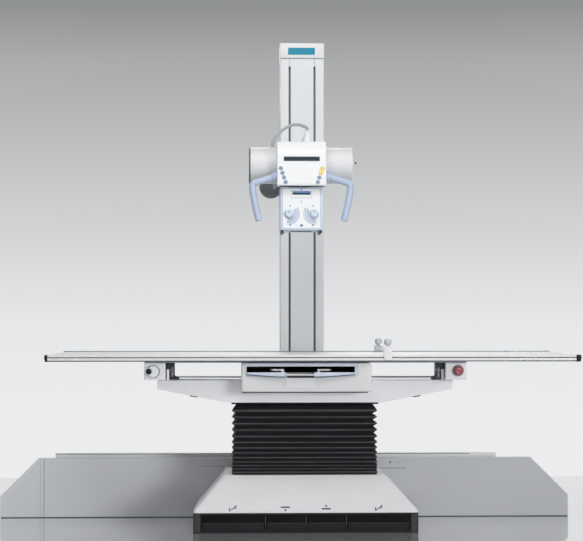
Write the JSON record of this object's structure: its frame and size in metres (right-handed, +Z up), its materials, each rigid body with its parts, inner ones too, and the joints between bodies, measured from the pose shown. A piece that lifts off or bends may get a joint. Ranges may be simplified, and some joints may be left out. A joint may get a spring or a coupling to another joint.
{
  "type": "x-ray radiography system",
  "caption": "Floor-mounted x-ray table on a bellows lift pedestal with cassette tray, and a tube column on a floor rail carrying a tilting tube head and collimator.",
  "frame": {"origin": "on the floor, under the middle of the table pedestal", "axes": "+Z up, +X along the table to the right as seen by a person in front, +Y from the front of the table towards the column"},
  "size_m": [2.743, 1.1933, 2.3543],
  "materials": {
    "white_enamel": "satin enamel",
    "pale_cover": "matte moulded cover",
    "silver_panel": "satin silver-grey paint",
    "anodised_rail": "satin anodised",
    "zinc_steel": "zinc plated",
    "black_rubber": "matte black",
    "bellows_cloth": "coated pleated cloth",
    "handle_blue": "satin",
    "tray_blue": "satin",
    "key_grey": "satin",
    "key_yellow": "satin",
    "stop_red": "satin",
    "drum_grey": "matte",
    "clamp_grey": "satin",
    "table_laminate": "smooth laminate",
    "cover_alloy": "white enamel on cast alloy"
  },
  "bodies": {
    "base": {"pedestal_base": "black_rubber", "pedestal_cover": "pale_cover", "outer_mast": "zinc_steel", "bellows": "bellows_cloth", "floor_panel": "silver_panel", "panel_end": "silver_panel", "rail_bed": "silver_panel", "guide_rail": "anodised_rail"},
    "lift": {"inner_mast": "zinc_steel", "table_beam": "white_enamel", "carrier_left": "black_rubber", "carrier_right": "black_rubber", "end_box_left": "white_enamel", "end_box_right": "white_enamel", "tray_housing": "cover_alloy"},
    "stop_button": {"stop_button": "stop_red"},
    "lock_knob": {"lock_knob": "cover_alloy"},
    "cassette_tray": {"cassette_tray": "tray_blue"},
    "cassette_clamp_left": {"cassette_clamp_left": "cover_alloy"},
    "cassette_clamp_right": {"cassette_clamp_right": "cover_alloy"},
    "float_frame": {"float_frame": "zinc_steel"},
    "tabletop": {"tabletop_panel": "table_laminate", "front_rail": "anodised_rail", "rear_rail": "anodised_rail", "end_cap_left": "black_rubber", "end_cap_right": "black_rubber"},
    "rail_clamp_front": {"rail_clamp_front": "clamp_grey"},
    "rail_clamp_rear": {"rail_clamp_rear": "clamp_grey"},
    "clamp_knob_front": {"clamp_knob_front": "clamp_grey"},
    "clamp_knob_rear": {"clamp_knob_rear": "clamp_grey"},
    "column": {"column_trolley": "silver_panel", "column_post": "white_enamel", "column_cap": "white_enamel"},
    "arm": {"arm_carriage": "cover_alloy", "arm_boom": "cover_alloy", "brake_drum": "drum_grey"},
    "head": {"tube_housing": "cover_alloy", "tube_cap_left": "cover_alloy", "tube_cap_right": "cover_alloy", "tube_bracket": "cover_alloy", "control_panel": "pale_cover", "handle_left": "handle_blue", "handle_right": "handle_blue", "tube_cable": "clamp_grey"},
    "collimator": {"collimator_box": "cover_alloy"},
    "collimator_knob_left": {"collimator_knob_left": "handle_blue"},
    "collimator_knob_right": {"collimator_knob_right": "handle_blue"},
    "lamp_button": {"lamp_button": "handle_blue"},
    "pedal_1": {"pedal_1": "black_rubber"},
    "pedal_2": {"pedal_2": "black_rubber"},
    "pedal_3": {"pedal_3": "black_rubber"},
    "pedal_4": {"pedal_4": "black_rubber"},
    "key_1": {"key_1": "key_grey"},
    "key_2": {"key_2": "key_grey"},
    "key_3": {"key_3": "key_grey"},
    "key_4": {"key_4": "key_grey"},
    "key_5": {"key_5": "key_yellow"},
    "key_6": {"key_6": "key_yellow"},
    "key_7": {"key_7": "key_grey"},
    "key_8": {"key_8": "key_grey"}
  },
  "joints": [
    {"name": "pedal_1_press", "type": "slide", "parent": "base", "child": "pedal_1", "axis": [0, 1, 0], "range_m": [0, 0.006], "stiffness_N_per_m": 900},
    {"name": "pedal_2_press", "type": "slide", "parent": "base", "child": "pedal_2", "axis": [0, 1, 0], "range_m": [0, 0.006], "stiffness_N_per_m": 900},
    {"name": "pedal_3_press", "type": "slide", "parent": "base", "child": "pedal_3", "axis": [0, 1, 0], "range_m": [0, 0.006], "stiffness_N_per_m": 900},
    {"name": "pedal_4_press", "type": "slide", "parent": "base", "child": "pedal_4", "axis": [0, 1, 0], "range_m": [0, 0.006], "stiffness_N_per_m": 900},
    {"name": "table_lift", "type": "slide", "parent": "base", "child": "lift", "axis": [0, 0, 1], "range_m": [-0.2, 0.08], "deforming": ["bellows"]},
    {"name": "stop_press", "type": "slide", "parent": "lift", "child": "stop_button", "axis": [0, 1, 0], "range_m": [0, 0.004], "stiffness_N_per_m": 600},
    {"name": "lock_turn", "type": "hinge", "parent": "lift", "child": "lock_knob", "pos_m": [-0.6875, -0.33, 0.7215], "axis": [0, 1, 0], "range_deg": [-90, 90]},
    {"name": "tray_pull", "type": "slide", "parent": "lift", "child": "cassette_tray", "axis": [0, -1, 0], "range_m": [0, 0.3]},
    {"name": "clamp_left_slide", "type": "slide", "parent": "cassette_tray", "child": "cassette_clamp_left", "axis": [1, 0, 0], "range_m": [-0.08, 0.03]},
    {"name": "clamp_right_slide", "type": "slide", "parent": "cassette_tray", "child": "cassette_clamp_right", "axis": [1, 0, 0], "range_m": [-0.03, 0.08]},
    {"name": "float_across", "type": "slide", "parent": "lift", "child": "float_frame", "axis": [0, 1, 0], "range_m": [-0.1, 0.1]},
    {"name": "tabletop_along", "type": "slide", "parent": "float_frame", "child": "tabletop", "axis": [1, 0, 0], "range_m": [-0.38, 0.31]},
    {"name": "rail_clamp_front_slide", "type": "slide", "parent": "tabletop", "child": "rail_clamp_front", "axis": [1, 0, 0], "range_m": [-0.3, 0.3]},
    {"name": "clamp_knob_front_turn", "type": "hinge", "parent": "rail_clamp_front", "child": "clamp_knob_front", "pos_m": [0.3655, -0.3905, 0.8359], "axis": [0, 0, 1], "range_deg": [-180, 180]},
    {"name": "rail_clamp_rear_slide", "type": "slide", "parent": "tabletop", "child": "rail_clamp_rear", "axis": [1, 0, 0], "range_m": [-0.3, 0.3]},
    {"name": "clamp_knob_rear_turn", "type": "hinge", "parent": "rail_clamp_rear", "child": "clamp_knob_rear", "pos_m": [0.387, 0.3905, 0.8359], "axis": [0, 0, 1], "range_deg": [-180, 180]},
    {"name": "column_travel", "type": "slide", "parent": "base", "child": "column", "axis": [1, 0, 0], "range_m": [-0.9, 0.72]},
    {"name": "arm_height", "type": "slide", "parent": "column", "child": "arm", "axis": [0, 0, 1], "range_m": [-0.3, 0.38]},
    {"name": "head_tilt", "type": "hinge", "parent": "arm", "child": "head", "pos_m": [-0.0115, 0.106, 1.68], "axis": [0, 1, 0], "range_deg": [-90, 90]},
    {"name": "collimator_turn", "type": "hinge", "parent": "head", "child": "collimator", "pos_m": [-0.0115, 0, 1.57], "axis": [0, 0, 1], "range_deg": [-45, 45]},
    {"name": "collimator_knob_left_turn", "type": "hinge", "parent": "collimator", "child": "collimator_knob_left", "pos_m": [-0.0705, -0.115, 1.4465], "axis": [0, 1, 0], "range_deg": [-150, 150]},
    {"name": "collimator_knob_right_turn", "type": "hinge", "parent": "collimator", "child": "collimator_knob_right", "pos_m": [0.0475, -0.115, 1.4465], "axis": [0, 1, 0], "range_deg": [-150, 150]},
    {"name": "lamp_press", "type": "slide", "parent": "collimator", "child": "lamp_button", "axis": [0, 1, 0], "range_m": [0, 0.0015], "stiffness_N_per_m": 300},
    {"name": "key_1_press", "type": "slide", "parent": "head", "child": "key_1", "axis": [0, 1, 0], "range_m": [0, 0.0015], "stiffness_N_per_m": 300},
    {"name": "key_2_press", "type": "slide", "parent": "head", "child": "key_2", "axis": [0, 1, 0], "range_m": [0, 0.0015], "stiffness_N_per_m": 300},
    {"name": "key_3_press", "type": "slide", "parent": "head", "child": "key_3", "axis": [0, 1, 0], "range_m": [0, 0.0015], "stiffness_N_per_m": 300},
    {"name": "key_4_press", "type": "slide", "parent": "head", "child": "key_4", "axis": [0, 1, 0], "range_m": [0, 0.0015], "stiffness_N_per_m": 300},
    {"name": "key_5_press", "type": "slide", "parent": "head", "child": "key_5", "axis": [0, 1, 0], "range_m": [0, 0.0015], "stiffness_N_per_m": 300},
    {"name": "key_6_press", "type": "slide", "parent": "head", "child": "key_6", "axis": [0, 1, 0], "range_m": [0, 0.0015], "stiffness_N_per_m": 300},
    {"name": "key_7_press", "type": "slide", "parent": "head", "child": "key_7", "axis": [0, 1, 0], "range_m": [0, 0.0015], "stiffness_N_per_m": 300},
    {"name": "key_8_press", "type": "slide", "parent": "head", "child": "key_8", "axis": [0, 1, 0], "range_m": [0, 0.0015], "stiffness_N_per_m": 300}
  ],
  "couplings": [
    {"joint": "clamp_right_slide", "follows": "clamp_left_slide", "ratio": -1}
  ]
}
